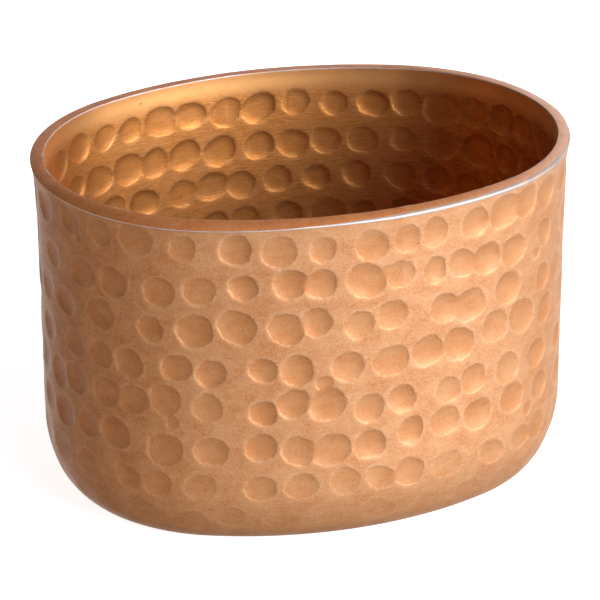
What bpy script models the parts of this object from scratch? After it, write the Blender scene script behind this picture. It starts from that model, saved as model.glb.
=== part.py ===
"""Double-walled oval bowl in hammered copper.

Two sheet shells, one inside the other, share an oval outline of four tangent arcs. A rim band laps over
the outer shell's edge, and its tongue spaces the two walls. A plate inside the outer shell's turned-in foot
closes it from below. Silver solder seams run under the band's lip, on the liner's upper edge and around the
base plate.

Every ring of the bowl is the rim's outline moved inwards, so a section is a list of (inset, height) points:
the inset is measured inwards from the rim's outer edge, and the height up from the table.
The origin is the centre of the foot's underside, +X runs along the bowl and +Z is up.
"""

import math

import bmesh
import bpy
from mathutils import Vector

# Overall size, in metres.
LENGTH = 0.152
WIDTH = 0.115
HEIGHT = 0.100
END_RADIUS = 0.0525

# Sheet and joints.
SHEET = 0.0008
GAP = 0.0003
AIR_GAP = 0.00132

# Outer wall: a slight flare at the top and a quarter ellipse at the foot.
RIM_OVERHANG = 0.00068
FLARE = 0.00046
FLARE_HEIGHT = 0.0114
CORNER_RUN = 0.0130
CORNER_RISE = 0.0233
FOOT_WIDTH = 0.0040

# Rim: its top slopes down towards the outside, and a tongue hangs between the two walls.
RIM_WIDTH = 0.0036
RIM_SLOPE_DROP = 0.00075
LIP_HEIGHT = 0.0009
OUTER_ROUNDING = 0.0004
INNER_ROUNDING = 0.0005
TONGUE_DEPTH = 0.0030

# Solder beads.
BEAD = 0.0006

# Base plate.
PLATE_LAP = 0.0033
FLOOR_SPACE = 0.0017

# Fineness.
SEGMENTS = 88
CORNER_STEPS = 7
FLARE_STEPS = 3
ROUNDING_STEPS = 2

HALF_LENGTH = LENGTH / 2
HALF_WIDTH = WIDTH / 2
END_CENTRE = HALF_LENGTH - END_RADIUS
SIDE_RADIUS = (END_CENTRE**2 + HALF_WIDTH**2 - END_RADIUS**2) / (2 * (HALF_WIDTH - END_RADIUS))
SIDE_CENTRE = SIDE_RADIUS - HALF_WIDTH
END_ANGLE = math.atan2(SIDE_CENTRE, END_CENTRE)
END_RUN = END_RADIUS * END_ANGLE
QUARTER_RUN = END_RUN + SIDE_RADIUS * (math.pi / 2 - END_ANGLE)

RIM_UNDERSIDE = HEIGHT - RIM_SLOPE_DROP - LIP_HEIGHT
WALL_TOP = RIM_UNDERSIDE - GAP
LINER_TOP = HEIGHT - BEAD - GAP
WALL_INSET = RIM_OVERHANG + FLARE
LINER_SHIFT = 2 * SHEET + AIR_GAP
FOOT_INSET = WALL_INSET + CORNER_RUN + FOOT_WIDTH
PLATE_UNDERSIDE = SHEET + GAP
FLOOR_HEIGHT = PLATE_UNDERSIDE + SHEET + FLOOR_SPACE + SHEET

COPPER = (0.80, 0.42, 0.22)
DARK_COPPER = (0.52, 0.26, 0.14)
SILVER = (0.80, 0.81, 0.83)


def clear_scene():
    for item in list(bpy.data.objects):
        bpy.data.objects.remove(item, do_unlink=True)


def make_collection(name):
    collection = bpy.data.collections.new(name)
    bpy.context.scene.collection.children.link(collection)
    return collection


def make_material(name, colour, roughness, metallic=1.0):
    material = bpy.data.materials.new(name)
    material.use_nodes = True
    shader = material.node_tree.nodes["Principled BSDF"]
    shader.inputs["Base Color"].default_value = (*colour, 1.0)
    shader.inputs["Roughness"].default_value = roughness
    shader.inputs["Metallic"].default_value = metallic
    return material


def outline_station(index):
    """Point and outward normal of the rim's outline at one of SEGMENTS even steps from +X towards +Y."""
    quarter = 4 * index // SEGMENTS
    share = 4 * index % SEGMENTS / SEGMENTS
    along = QUARTER_RUN * (share if quarter % 2 == 0 else 1 - share)
    if along < END_RUN:
        centre = Vector((END_CENTRE, 0, 0))
        radius = END_RADIUS
        angle = along / END_RADIUS
    else:
        centre = Vector((0, -SIDE_CENTRE, 0))
        radius = SIDE_RADIUS
        angle = END_ANGLE + (along - END_RUN) / SIDE_RADIUS
    normal = Vector((math.cos(angle), math.sin(angle), 0))
    mirror = Vector((-1 if quarter in (1, 2) else 1, -1 if quarter in (2, 3) else 1, 1))
    return (centre + radius * normal) * mirror, normal * mirror


def place_row(stations, inset, height):
    """Moves a row of vertices onto the outline, inset and raised."""
    for vert, index in stations.items():
        point, normal = outline_station(index)
        vert.co = point - inset * normal + Vector((0, 0, height))


def first_row(mesh):
    verts = bmesh.ops.create_circle(mesh, segments=SEGMENTS, radius=HALF_WIDTH)["verts"]
    verts.sort(key=lambda vert: math.atan2(vert.co.y, vert.co.x) % math.tau)
    return {vert: index for index, vert in enumerate(verts)}


def extruded_row(mesh, stations):
    """Extrudes a row's edges once, and tells which station each new vertex belongs to."""
    edges = [e for e in mesh.edges if e.verts[0] in stations and e.verts[1] in stations]
    made = bmesh.ops.extrude_edge_only(mesh, edges=edges)["geom"]
    new_stations = {}
    for vert in (item for item in made if isinstance(item, bmesh.types.BMVert)):
        for edge in vert.link_edges:
            if edge.other_vert(vert) in stations:
                new_stations[vert] = stations[edge.other_vert(vert)]
    return new_stations


def fill_floor(mesh, stations):
    edges = [e for e in mesh.edges if e.verts[0] in stations and e.verts[1] in stations]
    face = bmesh.ops.contextual_create(mesh, geom=edges)["faces"][0]
    bmesh.ops.poke(mesh, faces=[face])


def swept_object(name, section, collection, material, floor=False, closed=False):
    """An object whose rows are the outline at each point of a section, its last row filled or joined on."""
    mesh = bmesh.new()
    stations = first_row(mesh)
    place_row(stations, *section[0])
    for inset, height in section[1:] + (section[:1] if closed else []):
        stations = extruded_row(mesh, stations)
        place_row(stations, inset, height)
    if floor:
        fill_floor(mesh, stations)
    if closed:
        bmesh.ops.remove_doubles(mesh, verts=mesh.verts, dist=1e-7)
    bmesh.ops.recalc_face_normals(mesh, faces=mesh.faces)
    data = bpy.data.meshes.new(name)
    mesh.to_mesh(data)
    mesh.free()
    data.shade_smooth()
    data.set_sharp_from_angle(angle=math.radians(35))
    data.materials.append(material)
    item = bpy.data.objects.new(name, data)
    collection.objects.link(item)
    return item


def add_sheet(item, offset):
    """Gives an open surface the thickness of the sheet: offset -1 puts it behind the surface, 1 in front."""
    sheet = item.modifiers.new("sheet", "SOLIDIFY")
    sheet.thickness = SHEET
    sheet.offset = offset
    sheet.use_even_offset = True


def arc(centre, radii, start, end, steps):
    """Points of an elliptical arc as (inset, height), with angles in degrees from the inset axis."""
    points = []
    for step in range(steps + 1):
        angle = math.radians(start + (end - start) * step / steps)
        points.append((centre[0] + radii[0] * math.cos(angle), centre[1] + radii[1] * math.sin(angle)))
    return points


def rounding(corner, radius, start, end):
    """The arc that rounds an upper corner: the outer one from 180 to 90 degrees, the inner one from 90 to 0."""
    inwards = 1 if start == 180 else -1
    centre = (corner[0] + inwards * radius, corner[1] - radius)
    return arc(centre, (radius, radius), start, end, ROUNDING_STEPS)


def wall_section(shift, top, floor_height):
    """A shell's exposed face from its upper edge down to its floor, shift inwards of the outer wall."""
    points = [(shift + RIM_OVERHANG, top)] if top > WALL_TOP else []
    for step in range(FLARE_STEPS + 1):
        share = 1 - step / FLARE_STEPS
        points.append((shift + RIM_OVERHANG + FLARE * (1 - share**2), WALL_TOP - FLARE_HEIGHT * (1 - share)))
    run = CORNER_RUN - shift
    rise = CORNER_RISE - floor_height
    centre = (shift + WALL_INSET + run, floor_height + rise)
    return points + arc(centre, (run, rise), 180, 270, CORNER_STEPS)


def make_outer_shell(collection, material):
    section = wall_section(0, WALL_TOP, 0)
    section.append((FOOT_INSET, 0))
    shell = swept_object("outer_shell", section, collection, material)
    add_sheet(shell, -1)


def make_inner_liner(collection, material):
    section = wall_section(LINER_SHIFT, LINER_TOP, FLOOR_HEIGHT)
    liner = swept_object("inner_liner", section, collection, material, floor=True)
    add_sheet(liner, 1)


def make_rim_band(collection, material):
    """The band's section runs over the top from outside to inside, down the tongue and back under the lip."""
    outer_top = HEIGHT - RIM_SLOPE_DROP
    inner_side = RIM_WIDTH - BEAD - GAP
    tongue_outside = RIM_OVERHANG + SHEET + GAP
    tongue_inside = RIM_WIDTH - SHEET - GAP
    tongue_foot = RIM_UNDERSIDE - TONGUE_DEPTH
    section = [(0, RIM_UNDERSIDE)]
    section += rounding((0, outer_top), OUTER_ROUNDING, 180, 90)
    section += [(inner_side, HEIGHT), (inner_side, LINER_TOP + GAP), (tongue_inside, LINER_TOP)]
    section += [(tongue_inside, tongue_foot), (tongue_outside, tongue_foot), (tongue_outside, RIM_UNDERSIDE)]
    swept_object("rim_band", section, collection, material, closed=True)


def make_outer_rim_solder(collection, material):
    """A bead in the corner between the outer wall and the lip that overhangs it."""
    inside = RIM_OVERHANG - GAP
    section = [(0, WALL_TOP), (0, WALL_TOP - BEAD / 2), (inside, WALL_TOP - BEAD), (inside, WALL_TOP)]
    swept_object("outer_rim_solder", section, collection, material, closed=True)


def make_inner_rim_solder(collection, material):
    """A bead on the liner's upper edge, flush with the top of the band and rounded towards the inside."""
    outside = RIM_WIDTH - BEAD
    section = [(outside, HEIGHT - BEAD), (outside, HEIGHT)]
    section += rounding((RIM_WIDTH, HEIGHT), INNER_ROUNDING, 90, 0)
    section.append((RIM_WIDTH, HEIGHT - BEAD))
    swept_object("inner_rim_solder", section, collection, material, closed=True)


def make_base_plate(collection, material):
    """A flat plate that lies on the turned-in foot, inside the outer shell."""
    inset = FOOT_INSET - PLATE_LAP
    outline = bpy.data.curves.new("base_plate", "CURVE")
    outline.dimensions = "2D"
    outline.fill_mode = "BOTH"
    outline.extrude = SHEET / 2
    spline = outline.splines.new("POLY")
    spline.points.add(SEGMENTS - 1)
    for index, point in enumerate(spline.points):
        place, normal = outline_station(index)
        point.co = (*(place - inset * normal), 1)
    spline.use_cyclic_u = True
    outline.materials.append(material)
    plate = bpy.data.objects.new("base_plate", outline)
    plate.location.z = PLATE_UNDERSIDE + SHEET / 2
    collection.objects.link(plate)


def make_base_solder(collection, material):
    """A fillet between the foot's inner edge and the plate's underside."""
    start = FOOT_INSET + GAP
    section = [(start, SHEET), (start, SHEET - BEAD), (start + BEAD, SHEET)]
    swept_object("base_solder", section, collection, material, closed=True)


def build():
    clear_scene()
    bowl = make_collection("hammered_copper_bowl")
    make_outer_shell(bowl, make_material("outer_copper", COPPER, 0.38))
    make_inner_liner(bowl, make_material("inner_copper", COPPER, 0.42))
    make_rim_band(bowl, make_material("rim_copper", DARK_COPPER, 0.35))
    make_outer_rim_solder(bowl, make_material("outer_solder", SILVER, 0.30))
    make_inner_rim_solder(bowl, make_material("inner_solder", SILVER, 0.30))
    make_base_plate(bowl, make_material("base_copper", DARK_COPPER, 0.50))
    make_base_solder(bowl, make_material("base_solder", SILVER, 0.40))


build()
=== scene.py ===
"""Looks of the hammered copper bowl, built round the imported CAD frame.

The shells, the rim band and the solder seams are rebuilt as fine meshes. Each one sweeps a section of
(inset, height) points round the bowl's oval outline, and the two shells carry the hammer marks as real
displacement. Lengths are in metres, except the "gap" attribute, which is in millimetres.
"""

import math

import bmesh
import bpy
import numpy as np
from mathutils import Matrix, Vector, noise


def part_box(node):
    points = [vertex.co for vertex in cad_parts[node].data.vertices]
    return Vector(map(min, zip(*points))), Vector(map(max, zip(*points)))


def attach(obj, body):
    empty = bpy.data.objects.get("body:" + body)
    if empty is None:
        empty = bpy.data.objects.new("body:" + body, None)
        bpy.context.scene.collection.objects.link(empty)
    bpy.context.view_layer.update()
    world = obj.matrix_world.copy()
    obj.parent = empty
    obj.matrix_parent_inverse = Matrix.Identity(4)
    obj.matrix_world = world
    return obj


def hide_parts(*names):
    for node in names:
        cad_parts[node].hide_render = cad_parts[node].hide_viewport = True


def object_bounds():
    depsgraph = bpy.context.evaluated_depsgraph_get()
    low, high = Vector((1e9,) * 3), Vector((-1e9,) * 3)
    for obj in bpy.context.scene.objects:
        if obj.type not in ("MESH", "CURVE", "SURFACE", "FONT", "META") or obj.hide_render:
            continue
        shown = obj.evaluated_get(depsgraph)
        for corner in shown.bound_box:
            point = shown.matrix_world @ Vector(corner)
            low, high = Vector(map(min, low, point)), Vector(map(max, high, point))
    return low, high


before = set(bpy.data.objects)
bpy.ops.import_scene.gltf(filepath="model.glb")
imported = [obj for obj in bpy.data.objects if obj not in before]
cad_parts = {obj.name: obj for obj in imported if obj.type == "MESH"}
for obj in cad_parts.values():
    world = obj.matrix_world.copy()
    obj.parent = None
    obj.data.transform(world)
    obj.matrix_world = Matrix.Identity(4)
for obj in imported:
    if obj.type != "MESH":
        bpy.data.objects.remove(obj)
CAD_LOW, CAD_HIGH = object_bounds()
MM = 0.001

# Outline and section, from the frame.
RIM_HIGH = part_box("rim_band")[1]
SHELL_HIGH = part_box("outer_shell")[1]
LINER_LOW, LINER_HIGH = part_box("inner_liner")
HALF_LENGTH = RIM_HIGH.x
HALF_WIDTH = RIM_HIGH.y
HEIGHT = CAD_HIGH.z
SHEET = 0.8 * MM
OVERHANG = HALF_LENGTH - SHELL_HIGH.x
LINER_INSET = HALF_LENGTH - LINER_HIGH.x + SHEET
LINER_TOP = LINER_HIGH.z
FLOOR_HEIGHT = LINER_LOW.z + SHEET

# Shape that the boxes don't hold.
END_RADIUS = 52.5 * MM
FLARE = 0.46 * MM
FLARE_HEIGHT = 11.4 * MM
CORNER_RUN = 13.0 * MM
CORNER_RISE = 23.3 * MM
FOOT_WIDTH = 4.0 * MM

END_CENTRE = HALF_LENGTH - END_RADIUS
SIDE_RADIUS = (END_CENTRE**2 + HALF_WIDTH**2 - END_RADIUS**2) / (2 * (HALF_WIDTH - END_RADIUS))
SIDE_CENTRE = SIDE_RADIUS - HALF_WIDTH
END_ANGLE = math.atan2(SIDE_CENTRE, END_CENTRE)
END_RUN = END_RADIUS * END_ANGLE
QUARTER_RUN = END_RUN + SIDE_RADIUS * (math.pi / 2 - END_ANGLE)
PERIMETER = 4 * QUARTER_RUN

# Rim band.
RIM_WIDTH = LINER_INSET
BEAD = 0.6 * MM
SEAM_RISE = 0.35 * MM

# The hand-worked ends spread a little at the top, the one at -X more. The outer wall's top moves out
# further there, to lie flush with the rim.
END_SPREAD = {-1: 1.4 * MM, 1: 0.9 * MM}
END_SPREAD_DEPTH = 75 * MM
END_SPREAD_CURVE = 1.3
END_NARROWNESS = 4.5
END_FLUSH = 0.4 * MM
END_FLUSH_DEPTH = 20 * MM

FLARE_POINTS = 13
SHARP_ANGLE = math.radians(50)
NOISE_STRIDE = (17.3, 5.1, 9.7)


# ---------------------------------------------------------------- outline and sections


def oval(turns):
    """Points and outward normals of the rim's outline at shares of the way round, from +X towards +Y."""
    turns = np.mod(np.asarray(turns, float), 1.0)
    quarter = np.floor(4 * turns).astype(int)
    share = 4 * turns - quarter
    along = QUARTER_RUN * np.where(quarter % 2 == 0, share, 1 - share)
    at_end = along < END_RUN
    angle = np.where(at_end, along / END_RADIUS, END_ANGLE + (along - END_RUN) / SIDE_RADIUS)
    radius = np.where(at_end, END_RADIUS, SIDE_RADIUS)
    level = np.zeros_like(angle)
    normals = np.stack([np.cos(angle), np.sin(angle), level], -1)
    centres = np.stack([np.where(at_end, END_CENTRE, 0), np.where(at_end, 0, -SIDE_CENTRE), level], -1)
    points = centres + radius[..., None] * normals
    mirror = np.stack([1 - 2 * np.isin(quarter, (1, 2)), 1 - 2 * (quarter >= 2), np.ones_like(quarter)], -1)
    return points * mirror, normals * mirror


def arc(centre, radii, start, end, steps=24):
    """(inset, height) points of an elliptical arc between two angles in degrees."""
    angles = np.radians(np.linspace(start, end, steps + 1))
    return np.stack([centre[0] + radii[0] * np.cos(angles), centre[1] + radii[1] * np.sin(angles)], -1)


def wall_section(shift, top, floor_height):
    """A shell's exposed face from its upper edge down to its floor, shift inwards of the outer wall."""
    flare_top = SHELL_HIGH.z
    share = np.linspace(1, 0, FLARE_POINTS)
    inset = shift + OVERHANG + FLARE * (1 - share**2)
    points = np.stack([inset, flare_top - FLARE_HEIGHT * (1 - share)], -1)
    if top > flare_top:
        points = np.vstack([[inset[0], top], points])
    run = CORNER_RUN - shift
    rise = CORNER_RISE - floor_height
    centre = (inset[-1] + run, floor_height + rise)
    return np.vstack([points, arc(centre, (run, rise), 180, 270)])


def section_lengths(section):
    return np.concatenate([[0], np.cumsum(np.linalg.norm(np.diff(section, axis=0), axis=1))])


def resampled(section, count):
    lengths = section_lengths(section)
    at = np.linspace(0, lengths[-1], count)
    return np.stack([np.interp(at, lengths, section[:, 0]), np.interp(at, lengths, section[:, 1])], -1)


def swept(section, columns, facing):
    """Grid of points and normals: a row for each section point, a column for each step round the outline.

    facing is 1 where the normal points away from the bowl's middle as the section runs down, -1 where to it.
    """
    outline, outward = oval(np.arange(columns) / columns)
    slope = np.gradient(section, axis=0)
    slope /= np.linalg.norm(slope, axis=1)[:, None]
    up = np.array([0, 0, 1.0])
    points = outline[None] - section[:, :1, None] * outward[None] + section[:, 1:, None] * up
    normals = facing * (-slope[:, 1:, None] * outward[None] - slope[:, :1, None] * up)
    return points, normals


# ---------------------------------------------------------------- meshes


def ring_faces(rows, columns, closed):
    row = np.arange(rows if closed else rows - 1)[:, None]
    column = np.arange(columns)[None]
    next_row = (row + 1) % rows * columns
    next_column = (column + 1) % columns
    corners = [row * columns + column, row * columns + next_column, next_row + next_column, next_row + column]
    return np.stack(np.broadcast_arrays(*corners), -1).reshape(-1, 4).tolist()


def pull_ends(points, pull):
    """Move the points near both ends outwards by up to pull, in place."""
    share = points[..., 0] / HALF_LENGTH
    points[..., 0] += pull * np.sign(share) * np.abs(share) ** END_NARROWNESS


def spread_ends(points):
    """A copy of the points with the top of both ends drawn outwards."""
    rise = np.clip(1 - (HEIGHT - points[..., 2]) / END_SPREAD_DEPTH, 0, 1) ** END_SPREAD_CURVE
    reach = np.where(points[..., 0] < 0, END_SPREAD[-1], END_SPREAD[1])
    moved = points.copy()
    pull_ends(moved, reach * rise)
    return moved


def face_outwards(mesh):
    """Turn a closed mesh whose faces look into the metal."""
    shape = bmesh.new()
    shape.from_mesh(mesh)
    if shape.calc_volume(signed=True) < 0:
        mesh.flip_normals()
    shape.free()


def add_piece(name, points, faces, material, node, attributes=None):
    """A smooth-shaded mesh that stands for a CAD node and rides on the body."""
    mesh = bpy.data.meshes.new(name)
    mesh.from_pydata(spread_ends(points).reshape(-1, 3).tolist(), [], faces)
    mesh.update()
    face_outwards(mesh)
    for key, values in (attributes or {}).items():
        layer = mesh.attributes.new(key, "FLOAT", "POINT")
        layer.data.foreach_set("value", np.asarray(values, np.float32).ravel())
    mesh.shade_smooth()
    mesh.set_sharp_from_angle(angle=SHARP_ANGLE)
    mesh.materials.append(material)
    piece = bpy.data.objects.new(name, mesh)
    bpy.context.scene.collection.objects.link(piece)
    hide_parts(node)
    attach(piece, "root")
    return piece


def smooth_noise(points, scale, seed):
    """Perlin noise from about -1 to 1 at each point; scale is the size of its bumps."""
    shift = Vector([seed * step for step in NOISE_STRIDE])
    flat = points.reshape(-1, 3) / scale
    values = [noise.noise(Vector(point) + shift) for point in flat]
    return np.array(values).reshape(points.shape[:-1])


# ---------------------------------------------------------------- hammer marks


# A mark: the gap given to points far from any mark, the depth at which it counts as firm, how soft its
# edge is, how far round its middle it is worked out and how square its outline is.
FAR_GAP = 4 * MM
FIRM_DEPTH = 0.66 * MM
EDGE_SOFTNESS = 0.03
MARK_REACH = 1.7
MARK_SQUARENESS = 2.2
TANGENT_STEP = 0.5 * MM

# How unevenly the marks of a row are made.
WAVES = 3
SPREAD_LIMITS = (-1.6, 1.8)
SIZE_LIMITS = (-1.7, 1.7)
FAINTEST = 0.25
SHALLOWEST = 0.65
DEPTH_RANGE = 0.6
WIDTH_RANGE = 0.06
TILT_LIMIT = 0.5
OUTER_MARKS = {
    "rows": 8, "first": 6.2 * MM, "pitch": 11.9 * MM, "spacing": 12.0 * MM, "spread": 0.20,
    "inset": 1.1 * MM, "straight": 75 * MM, "closing": 0.45, "end": 92 * MM, "fade": 22 * MM,
    "drift": 1.1 * MM, "jitter": 0.7 * MM, "half_width": 4.55 * MM, "half_height": 4.35 * MM,
    "size_spread": 0.08, "depth": 0.66 * MM, "flatness": 2.5,
}
INNER_MARKS = {
    "rows": 8, "first": 10.4 * MM, "pitch": 11.7 * MM, "spacing": 11.0 * MM, "spread": 0.12,
    "inset": 4.0 * MM, "straight": 76 * MM, "closing": 0.5, "end": 100 * MM, "fade": 12 * MM,
    "drift": 0.45 * MM, "jitter": 0.40 * MM, "half_width": 4.6 * MM, "half_height": 4.15 * MM,
    "size_spread": 0.08, "depth": 0.46 * MM, "flatness": 4.3,
}

# Slips of the hammer on the outside, and the deep pit, in the same terms as a mark of hammer_rows.
STRAY_MARKS = 26
STRAY_SIZES = (1.4, 2.6)
STRAY_PLACES = (6, 84)
STRAY_SQUASH = (0.8, 1.1)
STRAY_DEPTH = 0.16 * MM
PIT = (0.552, 9.5 * MM, 1.3 * MM, 1.5 * MM, 0.45 * MM, 0.2)


def place_on(section, turn, down):
    """Point of a swept section at a share of the way round and a length down it, with its two tangents."""
    lengths = section_lengths(section)
    outline, outward = (item[0] for item in oval([turn]))
    here, after = (
        np.array([np.interp(at, lengths, section[:, 0]), np.interp(at, lengths, section[:, 1])])
        for at in (down, down + TANGENT_STEP)
    )
    up = np.array([0, 0, 1.0])
    point = outline - here[0] * outward + here[1] * up
    along = np.cross(up, outward)
    step = -(after - here)[0] * outward + (after - here)[1] * up
    return point, along, step / np.linalg.norm(step)


def hammer_rows(rng, style):
    """Marks in wavering rows: each is (turn, down, half width, half height, depth, tilt)."""
    marks = []
    for row in range(style["rows"]):
        middle = style["first"] + row * style["pitch"]
        inset = style["inset"] + max(0, middle - style["straight"]) * style["closing"]
        run = PERIMETER - math.tau * inset
        count = round(run / style["spacing"])
        steps = 1 + style["spread"] * np.clip(rng.standard_normal(count), *SPREAD_LIMITS)
        turns = (np.cumsum(steps) / steps.sum() + rng.random()) % 1.0
        phase = rng.random(WAVES) * math.tau
        for turn in turns:
            drift = sum(math.sin(math.tau * (k + 2) * turn + phase[k]) / (k + 1.5) for k in range(WAVES))
            down = middle + style["drift"] * drift + style["jitter"] * rng.standard_normal()
            size = 1 + style["size_spread"] * np.clip(rng.standard_normal(), *SIZE_LIMITS)
            fade = np.clip((style["end"] - down) / style["fade"], FAINTEST, 1)
            depth = style["depth"] * (SHALLOWEST + DEPTH_RANGE * rng.random()) * fade
            tilt = rng.uniform(-TILT_LIMIT, TILT_LIMIT)
            half_width = style["half_width"] * size * (1 + WIDTH_RANGE * rng.standard_normal())
            half_height = style["half_height"] * size * (0.8 + 0.2 * fade)
            marks.append((turn, down, half_width, half_height, depth, tilt))
    return marks


def stray_marks(rng, count):
    """Small slips of the hammer on the outside, and one deep pit near the rim at the front left."""
    marks = [PIT]
    for turn in rng.random(count):
        size = rng.uniform(*STRAY_SIZES) * MM
        down = rng.uniform(*STRAY_PLACES) * MM
        marks.append((turn, down, size, size * rng.uniform(*STRAY_SQUASH), STRAY_DEPTH, 0))
    return marks


def hammered(points, section, marks, flatness):
    """Depth of the marks at each point, its gap to their edges in mm (below 0 inside) and their firmness."""
    depth = np.zeros(points.shape[:-1])
    gap = np.full_like(depth, FAR_GAP)
    firm = np.zeros_like(depth)
    for turn, down, half_width, half_height, deep, tilt in marks:
        centre, along, downwards = place_on(section, turn, down)
        reach = MARK_REACH * max(half_width, half_height)
        near = np.nonzero(np.max(np.abs(points - centre), axis=-1) < reach)
        offset = points[near] - centre
        across = offset @ along
        below = offset @ downwards
        x = (across * math.cos(tilt) + below * math.sin(tilt)) / half_width
        y = (below * math.cos(tilt) - across * math.sin(tilt)) / half_height
        angle = np.arctan2(y, x)
        wobble = 1 + 0.025 * np.sin(2 * angle + 9 * tilt) + 0.02 * np.sin(3 * angle + 17 * tilt)
        squared = np.abs(x) ** MARK_SQUARENESS + np.abs(y) ** MARK_SQUARENESS
        radius = wobble * squared ** (1 / MARK_SQUARENESS)
        bowl = deep * EDGE_SOFTNESS * np.logaddexp(0, (1 - radius**flatness) / EDGE_SOFTNESS)
        depth[near] = np.maximum(depth[near], bowl)
        gap[near] = np.minimum(gap[near], (radius - 1) * (half_width + half_height) / 2)
        firm[near] = np.maximum(firm[near], min(1, deep / FIRM_DEPTH))
    return depth, gap / MM, firm


# ---------------------------------------------------------------- shells


OUTER_COLUMNS = 600
OUTER_ROWS = 150
INNER_COLUMNS = 540
INNER_ROWS = 128
FLOOR_ROWS = 28
BACK_ROWS = 12
DENT_ROOM = 0.3 * MM
FLOOR_BACK_ROWS = 2
OUTER_SEED = 11
INNER_SEED = 5
OUTER_SWELL = 0.07 * MM
OUTER_SWELL_SIZE = 14 * MM
INNER_SWELL = 0.06 * MM
INNER_SWELL_SIZE = 16 * MM

# Marks fade out over these heights above the foot and below the top, and the lift under the rim over its own.
FOOT_MARGIN = 6 * MM
TOP_MARGIN = 3 * MM
LIFT_DEPTH = 6 * MM


def make_outer_shell(material):
    section = wall_section(0, SHELL_HIGH.z, 0)
    section = np.vstack([section, [section[-1, 0] + FOOT_WIDTH, 0]])
    front, front_normals = swept(resampled(section, OUTER_ROWS), OUTER_COLUMNS, 1)
    rng = np.random.default_rng(OUTER_SEED)
    marks = hammer_rows(rng, OUTER_MARKS) + stray_marks(rng, STRAY_MARKS)
    depth, gap, firm = hammered(front, section, marks, OUTER_MARKS["flatness"])
    swell = OUTER_SWELL * smooth_noise(front, OUTER_SWELL_SIZE, 1)
    above_foot = np.clip(front[..., 2] / FOOT_MARGIN, 0, 1)
    below_top = np.clip((SHELL_HIGH.z - front[..., 2]) / TOP_MARGIN, 0, 1)
    front = front + front_normals * (above_foot * below_top * (swell - depth))[..., None]
    back, back_normals = swept(resampled(section, BACK_ROWS), OUTER_COLUMNS, 1)
    back = (back - (SHEET + DENT_ROOM) * back_normals)[::-1]
    points = np.vstack([front, back])
    near_top = np.clip(1 - (SHELL_HIGH.z - points[..., 2]) / LIFT_DEPTH, 0, 1)
    points[..., 2] += near_top * wall_lift(np.arange(OUTER_COLUMNS) / OUTER_COLUMNS)
    flush = np.clip(1 - (SHELL_HIGH.z - points[..., 2]) / END_FLUSH_DEPTH, 0, 1)
    pull_ends(points, END_FLUSH * flush)
    behind = np.zeros(back.shape[:-1])
    attributes = {"gap": np.vstack([gap, behind]), "firm": np.vstack([firm, behind])}
    faces = ring_faces(len(points), OUTER_COLUMNS, True)
    add_piece("outer_shell_hammered", points, faces, material, "outer_shell", attributes)


def shrunk_rows(row, count):
    """Rows that close a floor: copies of its edge row drawn in towards the middle."""
    middle = row.mean(axis=0)
    shares = np.linspace(0, 1, count + 2)[1:-1, None, None]
    return row + (middle - row) * shares


def make_inner_liner(material):
    section = wall_section(LINER_INSET - OVERHANG, HEIGHT - SEAM_RISE, FLOOR_HEIGHT)
    wall, wall_normals = swept(resampled(section, INNER_ROWS), INNER_COLUMNS, -1)
    floor = shrunk_rows(wall[-1], FLOOR_ROWS)
    floor_normals = np.broadcast_to(np.array([0, 0, 1.0]), floor.shape)
    front = np.vstack([wall, floor])
    normals = np.vstack([wall_normals, floor_normals])
    marks = hammer_rows(np.random.default_rng(INNER_SEED), INNER_MARKS)
    depth, gap, firm = hammered(front, section, marks, INNER_MARKS["flatness"])
    swell = INNER_SWELL * smooth_noise(front, INNER_SWELL_SIZE, 2)
    smooth_margin = np.clip((LINER_TOP - front[..., 2]) / TOP_MARGIN, 0, 1)
    front = front + normals * (smooth_margin * (swell - depth))[..., None]
    back, back_normals = swept(resampled(section, BACK_ROWS), INNER_COLUMNS, -1)
    back = back - (SHEET + DENT_ROOM) * back_normals
    back = np.vstack([back, shrunk_rows(back[-1], FLOOR_BACK_ROWS)])
    points = np.vstack([front[::-1], back])
    behind = np.zeros(back.shape[:-1])
    attributes = {
        "gap": np.append(np.vstack([gap[::-1], behind]).ravel(), [0, 0]),
        "firm": np.append(np.vstack([firm[::-1], behind]).ravel(), [0, 0]),
    }
    faces = ring_faces(len(points), INNER_COLUMNS, False)
    count = len(points) * INNER_COLUMNS
    last = count - INNER_COLUMNS
    for column in range(INNER_COLUMNS):
        after = (column + 1) % INNER_COLUMNS
        faces.append([after, column, count])
        faces.append([last + column, last + after, count + 1])
    poles = np.array([points[0].mean(axis=0), points[-1].mean(axis=0)])
    points = np.vstack([points.reshape(-1, 3), poles])
    add_piece("inner_liner_hammered", points, faces, material, "inner_liner", attributes)


# ---------------------------------------------------------------- rim


RIM_COLUMNS = 720
INNER_SEAM_WIDEST = 0.50
BAND_CROWN = 1.8
TONGUE_FRONT = 1.78 * MM
TONGUE_BACK = 2.5 * MM


def near_turn(turns, centre, width, sharpness):
    """1 at a place on the way round, falling smoothly to 0 away from it."""
    gap = np.abs(np.mod(turns - centre + 0.5, 1) - 0.5)
    return np.exp(-((gap / width) ** sharpness))


def lean(turns):
    """1 at the front left, where the rim's band slopes down most."""
    return near_turn(turns, 0.61, 0.125, 2.6)


def shoulder(turns):
    """1 at the front right, where the silver seam widens into a shoulder."""
    return near_turn(turns, 0.845, 0.125, 4)


def right_end(turns):
    """1 at the right end, where the silver seam thins to a thread."""
    return near_turn(turns, 1.0, 0.055, 4)


def wall_lift(turns):
    """How far the outer wall's top rises to stay under the rim's silver shoulder."""
    return (0.45 * (1 - lean(turns)) + 0.35 * right_end(turns)) * MM


def lofted_ring(sections):
    """A closed ring through one closed section for each column."""
    columns = sections.shape[1]
    outline, outward = oval(np.arange(columns) / columns)
    up = np.array([0, 0, 1.0])
    return outline[None] - sections[..., :1] * outward[None] + sections[..., 1:] * up


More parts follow.
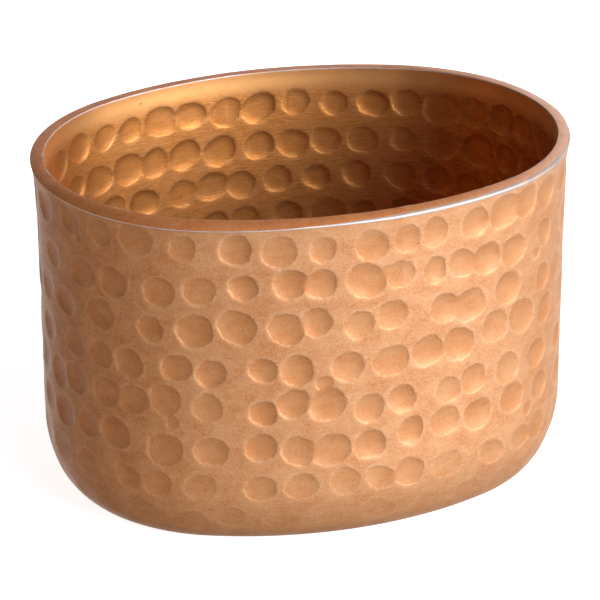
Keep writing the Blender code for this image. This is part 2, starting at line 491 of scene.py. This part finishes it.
def band_edge(turns):
    """Inset and height of the copper band's outer edge; the silver shoulder shows below it."""
    inset = (0.06 + 1.15 * shoulder(turns)) * MM
    drop = 0.38 + 1.50 * lean(turns) + 0.28 * shoulder(turns) + 0.35 * right_end(turns)
    return inset, HEIGHT - drop * MM


def ring_of(rows):
    """Points of a ring from rows of (inset, height), each a number or one value for each column."""
    columns = np.zeros(RIM_COLUMNS)
    return lofted_ring(np.array([np.stack(np.broadcast_arrays(*row, columns)[:2], -1) for row in rows]))


def make_rim_band(material):
    turns = np.arange(RIM_COLUMNS) / RIM_COLUMNS
    edge, low = band_edge(turns)
    inner = RIM_WIDTH - 0.10 * MM
    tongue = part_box("rim_band")[0].z
    underside = np.minimum(SHELL_HIGH.z + wall_lift(turns) + 0.05 * MM, low - 0.3 * MM)
    rows = [(edge + 0.55 * MM, low - 0.28 * MM), (edge + 0.12 * MM, low - 0.22 * MM), (edge, low - 0.08 * MM)]
    shares = np.linspace(0, 1, 16)
    for share in shares:
        crown = HEIGHT - (HEIGHT - low) * (1 - share) ** BAND_CROWN
        rows.append((edge + (inner - edge) * share, crown))
    rows += [(inner, HEIGHT - 0.12 * MM), (TONGUE_BACK, LINER_TOP)]
    rows += [(TONGUE_BACK, tongue), (TONGUE_FRONT, tongue)]
    rows += [(1.85 * MM, underside)]
    points = ring_of(rows)
    wobble = 0.04 * MM * smooth_noise(points, 5 * MM, 3) + 0.07 * MM * smooth_noise(points, 22 * MM, 4)
    points[..., 2] += np.where(points[..., 2] > HEIGHT - 3 * MM, wobble, 0)
    points[..., 2] = np.minimum(points[..., 2], HEIGHT)
    faces = ring_faces(len(points), RIM_COLUMNS, True)
    # Painted highlight: the band's right end is painted paler, where the light falls on it.
    lit_end_sheen = np.broadcast_to(near_turn(turns, 0.98, 0.12, 3), points.shape[:-1])
    add_piece("rim_band_worn", points, faces, material, "rim_band", {"edge": lit_end_sheen})


def make_outer_rim_solder(material):
    """The silver seam under the band's edge: a thread at the left, a rounded shoulder at the right."""
    turns = np.arange(RIM_COLUMNS) / RIM_COLUMNS
    edge, top = band_edge(turns)
    thread, wide = right_end(turns), shoulder(turns)
    below_band = top - (0.55 - 0.3 * thread) * MM
    below_rim = HEIGHT - (1.5 + 0.38 * wide - 0.35 * thread) * MM
    bottom = np.minimum(below_band, below_rim)
    bulge = (0.22 - 0.17 * wide) * MM, top - 0.25 * MM
    rows = [(0.85 * MM, bottom + 0.02 * MM), (0.55 * MM, bottom - 0.04 * MM)]
    for share in np.linspace(0, 1, 9):
        weights = (1 - share) ** 2, 2 * share * (1 - share), share**2
        inset = weights[0] * 0.34 * MM + weights[1] * bulge[0] + weights[2] * (edge + 0.14 * MM)
        rows.append((inset, weights[0] * bottom + weights[1] * bulge[1] + weights[2] * (top + 0.01 * MM)))
    rows += [(edge + 0.50 * MM, top - 0.20 * MM), (1.30 * MM, bottom + 0.10 * MM)]
    points = ring_of(rows)
    points[1:-2, :, 2] += 0.05 * MM * smooth_noise(points[1:-2], 4 * MM, 5)
    faces = ring_faces(len(points), RIM_COLUMNS, True)
    # Painted shade: the seam is painted dark copper at the right end, where it meets the wall under the band.
    wear_sheen_and_shade = np.broadcast_to(near_turn(turns, 1.03, 0.08, 6), points.shape[:-1])
    # Painted glint: the seam is painted near white at the front left, where little light reaches it.
    painted_glint = np.broadcast_to(0.7 * lean(turns), points.shape[:-1])
    masks = {"wear_sheen_and_shade": wear_sheen_and_shade, "painted_glint": painted_glint}
    add_piece("outer_rim_solder_bead", points, faces, material, "outer_rim_solder", masks)


def make_inner_rim_solder(material):
    """A thin seam on the rim's inner arris, worn away where it nearly vanishes under the band's edge."""
    turns = np.arange(RIM_COLUMNS) / RIM_COLUMNS
    shine = (0.5 + 0.5 * np.cos(math.tau * (turns - INNER_SEAM_WIDEST))) ** 3
    right = RIM_WIDTH + 0 * turns
    left = right - (0.08 + 0.45 * shine) * MM
    hidden = right - BEAD * 0.75
    low = HEIGHT - SEAM_RISE
    rows = [(hidden, low), (hidden, low + 0.1 * MM)]
    rows += [(left, HEIGHT - 0.14 * MM), (left + 0.08 * MM, HEIGHT - 0.05 * MM)]
    rows += [(right - 0.05 * MM, HEIGHT - 0.08 * MM), (right, HEIGHT - 0.20 * MM), (right, low)]
    points = ring_of(rows)
    points[2:5, :, 2] += 0.07 * MM * smooth_noise(points[2:5], 2.5 * MM, 6)
    faces = ring_faces(len(points), RIM_COLUMNS, True)
    add_piece("inner_rim_solder_bead", points, faces, material, "inner_rim_solder")


# ---------------------------------------------------------------- materials


# The smooth margin starts and is full this far below the rim. Mottle keeps this share inside a mark.
MARGIN_FROM = 7.0 * MM
MARGIN_FULL = 4.0 * MM
CALM_SHARE = 0.45
SEAM_COPPER = (0.58, 0.40, 0.28)
# Dark copper, painted shade for the outer seam's right end, where it meets the wall.
SEAM_JOINT_SHADE = (0.40, 0.22, 0.13)
# Near white, a painted glint for the outer seam at the front left.
SEAM_GLINT = (0.92, 0.92, 0.94)


class Nodes:
    """Short ways to add and link shader nodes in one material."""

    def __init__(self, name):
        self.material = bpy.data.materials.new(name)
        self.material.use_nodes = True
        self.tree = self.material.node_tree
        self.shader = self.tree.nodes["Principled BSDF"]
        self.place = self.add("ShaderNodeTexCoord").outputs["Object"]

    def add(self, kind, **settings):
        item = self.tree.nodes.new(kind)
        for key, value in settings.items():
            setattr(item, key, value)
        return item

    def put(self, socket, value):
        if isinstance(value, bpy.types.NodeSocket):
            self.tree.links.new(value, socket)
        else:
            socket.default_value = value

    def noise(self, scale, detail=2.0, stretch=(1, 1, 1), roughness=0.5, distortion=0.0):
        mapping = self.add("ShaderNodeMapping")
        self.put(mapping.inputs["Vector"], self.place)
        self.put(mapping.inputs["Scale"], stretch)
        texture = self.add("ShaderNodeTexNoise")
        self.put(texture.inputs["Vector"], mapping.outputs["Vector"])
        self.put(texture.inputs["Scale"], scale)
        self.put(texture.inputs["Detail"], detail)
        self.put(texture.inputs["Roughness"], roughness)
        self.put(texture.inputs["Distortion"], distortion)
        return texture.outputs["Fac"]

    def ramp(self, value, low, high, out_low=0.0, out_high=1.0):
        item = self.add("ShaderNodeMapRange")
        numbers = {"Value": value, "From Min": low, "From Max": high, "To Min": out_low, "To Max": out_high}
        for key, number in numbers.items():
            self.put(item.inputs[key], number)
        return item.outputs["Result"]

    def maths(self, operation, first, second):
        item = self.add("ShaderNodeMath", operation=operation)
        self.put(item.inputs[0], first)
        self.put(item.inputs[1], second)
        return item.outputs[0]

    def mix(self, share, first, second):
        item = self.add("ShaderNodeMix", data_type="RGBA")
        self.put(item.inputs["Factor"], share)
        for key, colour in (("A", first), ("B", second)):
            self.put(item.inputs[key], colour if isinstance(colour, bpy.types.NodeSocket) else (*colour, 1))
        return item.outputs["Result"]

    def attribute(self, name):
        return self.add("ShaderNodeAttribute", attribute_name=name).outputs["Fac"]

    def bump(self, height, strength, distance, before=None):
        item = self.add("ShaderNodeBump")
        self.put(item.inputs["Height"], height)
        self.put(item.inputs["Strength"], strength)
        self.put(item.inputs["Distance"], distance)
        if before is not None:
            self.put(item.inputs["Normal"], before)
        return item.outputs["Normal"]

    def finish(self, **inputs):
        for key, value in inputs.items():
            self.put(self.shader.inputs[key.replace("_", " ")], value)
        return self.material


def mark_masks(nodes):
    """Masks of the hammer marks: their insides, their pale edges and the height of their lips. The pale edges
    are partly wear and partly a painted highlight where the edges catch the light; the edge attribute adds
    the rim's painted highlight at its right end.
    """
    ragged = nodes.ramp(nodes.noise(330, 4, roughness=0.6), 0.3, 0.7, -0.42, 0.42)
    gap = nodes.maths("ADD", nodes.attribute("gap"), ragged)
    firm = nodes.attribute("firm")
    # Pale ring round each mark's edge: partly wear, partly a painted highlight.
    ring = nodes.maths("MULTIPLY", nodes.ramp(gap, -0.20, 0.10), nodes.ramp(gap, 0.15, 1.2, 1, 0))
    return {
        "inside": nodes.maths("MULTIPLY", nodes.ramp(gap, -0.7, 0.0, 1, 0), firm),
        "edge": nodes.maths("MAXIMUM", nodes.maths("MULTIPLY", ring, firm), nodes.attribute("edge")),
        "lip": nodes.maths("MULTIPLY", nodes.ramp(gap, -0.55, 0.10, -1, 0), firm),
    }


def surface_masks(nodes, inside):
    """Masks of the patina, the mottle, the smooth margin under the rim and the brushed streaks."""
    height = nodes.add("ShaderNodeSeparateXYZ")
    nodes.put(height.inputs[0], nodes.place)
    margin = nodes.ramp(height.outputs["Z"], HEIGHT - MARGIN_FROM, HEIGHT - MARGIN_FULL)
    brushed = nodes.noise(1.0, 4, stretch=(260, 260, 2700), roughness=0.7, distortion=0.5)
    unbrushed = nodes.maths("MAXIMUM", margin, nodes.maths("MULTIPLY", inside, 0.6))
    return {
        "patina": nodes.ramp(nodes.noise(140, 5, stretch=(1, 1, 1.5), roughness=0.62), 0.38, 0.62),
        "mottle": nodes.ramp(nodes.noise(1500, 3, stretch=(1, 1, 1.3), roughness=0.7), 0.40, 0.60),
        "margin": margin,
        "streaks": nodes.mix(unbrushed, brushed, (0.5, 0.5, 0.5)),
    }


def copper_colour(nodes, tones, masks):
    """Layers of colour: patina, mark insides, mottle, dark streaks, pale edges, pale margin and specks. The
    pale edges are partly wear and partly a painted highlight, and on the rim a painted highlight at its right
    end.
    """
    wear = nodes.ramp(nodes.noise(420, 4, roughness=0.75), *tones["wear"])
    wear_sheen_and_shade = nodes.maths("MULTIPLY", masks["edge"], wear)
    specks = nodes.ramp(nodes.noise(800, 2), 0.735, 0.77)
    calm = nodes.ramp(masks["inside"], 0, 1, tones["mottle"], CALM_SHARE * tones["mottle"])
    colour = nodes.mix(masks["patina"], tones["ground"], tones["shade"])
    dented = nodes.maths("MULTIPLY", masks["inside"], tones["inside_share"])
    colour = nodes.mix(dented, colour, tones["inside"])
    colour = nodes.mix(nodes.maths("MULTIPLY", masks["mottle"], calm), colour, tones["pale"])
    colour = nodes.mix(nodes.ramp(masks["streaks"], 0.38, 0.66, 0, tones["streak"]), colour, tones["dark"])
    # Pale edges of the marks: partly wear, partly a painted highlight; on the rim, a painted highlight at the
    # right end.
    colour = nodes.mix(nodes.maths("MULTIPLY", wear_sheen_and_shade, tones["edge_share"]), colour, tones["pale"])
    colour = nodes.mix(nodes.maths("MULTIPLY", masks["margin"], tones["margin"]), colour, tones["pale"])
    return nodes.mix(nodes.maths("MULTIPLY", specks, 0.5), colour, tones["speck"])


def copper_normal(nodes, masks, lip_height, grain):
    """Lips of the marks, then brushed streaks, fine upright threads and the mottle's pitting."""
    threads = nodes.noise(1.0, 2, stretch=(1900, 1900, 500))
    normal = nodes.bump(masks["lip"], 1.0, lip_height)
    normal = nodes.bump(masks["streaks"], grain, 0.09 * MM, normal)
    normal = nodes.bump(threads, 0.12, 0.05 * MM, normal)
    return nodes.bump(masks["mottle"], 0.12, 0.05 * MM, normal)


def copper(name, tones, grain, metal):
    """Satin copper. grain is the strength of the streaks' relief and metal the metallic share."""
    nodes = Nodes(name)
    masks = mark_masks(nodes)
    masks.update(surface_masks(nodes, masks["inside"]))
    rough = tones["roughness"]
    patchy = nodes.ramp(masks["patina"], 0, 1, rough - 0.04, rough + 0.04)
    streaky = nodes.ramp(masks["streaks"], 0.3, 0.7, -0.06, 0.06)
    along = nodes.add("ShaderNodeTangent", direction_type="RADIAL", axis="Z").outputs["Tangent"]
    return nodes.finish(
        Base_Color=copper_colour(nodes, tones, masks), Roughness=nodes.maths("ADD", patchy, streaky),
        Metallic=metal, Normal=copper_normal(nodes, masks, tones["lip"], grain),
        Specular_IOR_Level=tones["haze"], Anisotropic=tones["brushing"], Anisotropic_Rotation=0.25,
        Tangent=along, Coat_Weight=tones["lacquer"], Coat_Roughness=0.3,
    )


def solder(name, silver):
    """Dull silver seam, worn through to copper in places, with painted shade at the right end of the outer
    seam and a painted glint at its front left.
    """
    nodes = Nodes(name)
    wear = nodes.ramp(nodes.noise(300, 4, roughness=0.6), 0.45, 0.62)
    colour = nodes.mix(wear, silver, SEAM_COPPER)
    # Painted shade at the outer seam's right end.
    colour = nodes.mix(nodes.attribute("wear_sheen_and_shade"), colour, SEAM_JOINT_SHADE)
    # Painted glint: near white at the front left of the outer seam.
    colour = nodes.mix(nodes.attribute("painted_glint"), colour, SEAM_GLINT)
    normal = nodes.bump(nodes.noise(900, 2), 0.2, 0.06 * MM)
    roughness = nodes.ramp(wear, 0, 1, 0.46, 0.55)
    return nodes.finish(Base_Color=colour, Roughness=roughness, Metallic=0.5, Normal=normal)


OUTER_TONES = {
    "ground": (0.595, 0.260, 0.094), "shade": (0.50, 0.182, 0.047),
    "inside": (0.51, 0.180, 0.042), "inside_share": 0.34,
    "pale": (0.82, 0.475, 0.26), "mottle": 0.30, "edge_share": 0.34,
    "dark": (0.42, 0.15, 0.05), "streak": 0.22,
    "speck": (0.16, 0.06, 0.02),
    "brushing": 0.1, "roughness": 0.58, "haze": 0.40, "lacquer": 0.34, "margin": 0.10,
    "wear": (0.40, 0.60), "lip": 0.13 * MM,
}
INNER_TONES = {
    "ground": (0.72, 0.304, 0.096), "shade": (0.58, 0.222, 0.054),
    "inside": (0.58, 0.222, 0.052), "inside_share": 0.30,
    "pale": (0.90, 0.49, 0.19), "mottle": 0.25, "edge_share": 0.25,
    "dark": (0.33, 0.115, 0.018), "streak": 0.72,
    "speck": (0.08, 0.03, 0.01),
    "brushing": 0.3, "roughness": 0.55, "haze": 0.05, "lacquer": 0.0, "margin": 0.50,
    "wear": (0.42, 0.58), "lip": 0.13 * MM,
}
# The rim and the base plate have no marks, so the tone inside marks is never seen on them. On the rim, the
# pale edge tone is a painted highlight at its right end.
RIM_TONES = {
    "ground": (0.69, 0.225, 0.052), "shade": (0.56, 0.160, 0.030),
    "inside": (0.4, 0.2, 0.1), "inside_share": 0.0,
    "pale": (0.92, 0.60, 0.42), "mottle": 0.16, "edge_share": 0.60,
    "dark": (0.28, 0.10, 0.03), "streak": 0.15,
    "speck": (0.10, 0.04, 0.02),
    "brushing": 0.0, "roughness": 0.54, "haze": 0.35, "lacquer": 0.18, "margin": 0.0,
    "wear": (0.20, 0.50), "lip": 0.0,
}


# ---------------------------------------------------------------- stage, lights, camera


FLOOR_SIZE = 12
FLOOR_GLOW = 0.85
CAMERA_YAW = 0.3151
CAMERA_PITCH = 0.4247
CAMERA_DISTANCE = 16 * HALF_LENGTH
CAMERA_LENS = 256.16
CAMERA_SHIFT = 0.0049
AMBIENT = (0.002, 0.002, 0.002)
# Soft patches of light round the bowl: azimuth and elevation in degrees, tightness, strength and tint.
# The first is the softbox at the front right, the sixth a dim wall behind, and those below the horizon stand
# in for light off a pale table. The strengths began as a least-squares fit and were then changed.
LIGHT_PATCHES = (
    (308, 23, 17.0, 15.8, (1.00, 1.05, 1.14)),
    (330, -10, 6.0, 0.32, (0.80, 1.12, 1.56)),
    (275, -22, 5.0, 0.58, (0.99, 1.05, 1.12)),
    (322, -24, 5.0, 0.36, (0.80, 1.12, 1.56)),
    (20, -15, 5.0, 0.06, (0.90, 1.00, 1.12)),
    (50, 20, 5.0, 0.65, (0.94, 1.02, 1.14)),
    (72, -24, 8.0, 1.45, (1.00, 0.98, 0.97)),
    (185, -28, 5.0, 0.70, (1.12, 0.86, 0.66)),
    (122, -8, 7.0, 0.48, (0.98, 1.00, 1.02)),
    (252, -75, 3.0, 0.01, (1.00, 0.93, 0.80)),
)


def make_stage():
    """A plain pale floor that glows a little. The copper neither mirrors it nor gets bounce light from it."""
    bpy.ops.mesh.primitive_plane_add(size=FLOOR_SIZE)
    floor = bpy.context.active_object
    floor.name = "floor"
    floor.visible_glossy = False
    floor.visible_diffuse = False
    nodes = Nodes("floor_paint")
    tone = nodes.mix(nodes.noise(3, 2), (0.80, 0.80, 0.80), (0.78, 0.78, 0.78))
    white = (1, 1, 1, 1)
    paint = nodes.finish(Base_Color=tone, Roughness=0.9, Emission_Color=white, Emission_Strength=FLOOR_GLOW)
    floor.data.materials.append(paint)


def direction(azimuth, elevation):
    """Unit vector; azimuth is counted from +X towards +Y, in degrees."""
    a, e = math.radians(azimuth), math.radians(elevation)
    return (math.cos(a) * math.cos(e), math.sin(a) * math.cos(e), math.sin(e))


def make_world():
    """Soft studio surroundings: dim, with a few broad patches of light that the copper mirrors."""
    world = bpy.data.worlds.new("studio")
    bpy.context.scene.world = world
    world.use_nodes = True
    tree = world.node_tree
    place = tree.nodes.new("ShaderNodeTexCoord").outputs["Generated"]
    total = AMBIENT
    for azimuth, elevation, tightness, strength, tint in LIGHT_PATCHES:
        facing = tree.nodes.new("ShaderNodeVectorMath")
        facing.operation = "DOT_PRODUCT"
        tree.links.new(place, facing.inputs[0])
        facing.inputs[1].default_value = direction(azimuth, elevation)
        power = tree.nodes.new("ShaderNodeMath")
        power.operation = "POWER"
        power.inputs[0].default_value = math.exp(tightness)
        tree.links.new(facing.outputs["Value"], power.inputs[1])
        patch = tree.nodes.new("ShaderNodeVectorMath")
        patch.operation = "MULTIPLY_ADD"
        tree.links.new(power.outputs[0], patch.inputs[0])
        patch.inputs[1].default_value = [strength * math.exp(-tightness) * share for share in tint]
        if isinstance(total, tuple):
            patch.inputs[2].default_value = total
        else:
            tree.links.new(total, patch.inputs[2])
        total = patch.outputs[0]
    tree.links.new(total, tree.nodes["Background"].inputs["Color"])


def make_camera():
    """The camera stands sixteen half-lengths away, to the left of the bowl's front and above it."""
    middle = Vector((0, 0, HEIGHT / 2))
    level = math.cos(CAMERA_PITCH)
    back = Vector((-level * math.sin(CAMERA_YAW), -level * math.cos(CAMERA_YAW), math.sin(CAMERA_PITCH)))
    data = bpy.data.cameras.new("camera")
    data.sensor_width = 36.0
    data.lens = CAMERA_LENS
    data.shift_x = -CAMERA_SHIFT
    data.shift_y = CAMERA_SHIFT
    camera = bpy.data.objects.new("camera", data)
    camera.location = middle + back * CAMERA_DISTANCE
    camera.rotation_euler = (-back).to_track_quat("-Z", "Y").to_euler()
    bpy.context.scene.collection.objects.link(camera)
    bpy.context.scene.camera = camera


make_outer_shell(copper("outer_copper", OUTER_TONES, 0.20, 0.42))
make_inner_liner(copper("inner_copper", INNER_TONES, 0.95, 0.97))
make_rim_band(copper("rim_copper", RIM_TONES, 0.1, 0.55))
make_outer_rim_solder(solder("outer_solder", (0.46, 0.37, 0.32)))
make_inner_rim_solder(solder("inner_solder", (0.50, 0.48, 0.48)))
BASE_MATERIALS = {
    "base_plate": copper("base_copper", RIM_TONES, 0.2, 0.8),
    "base_solder": solder("base_silver", (0.60, 0.62, 0.65)),
}
for node, material in BASE_MATERIALS.items():
    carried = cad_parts[node]
    carried.data.materials.clear()
    carried.data.materials.append(material)

bpy.context.scene.view_settings.view_transform = "Standard"
make_stage()
make_world()
make_camera()
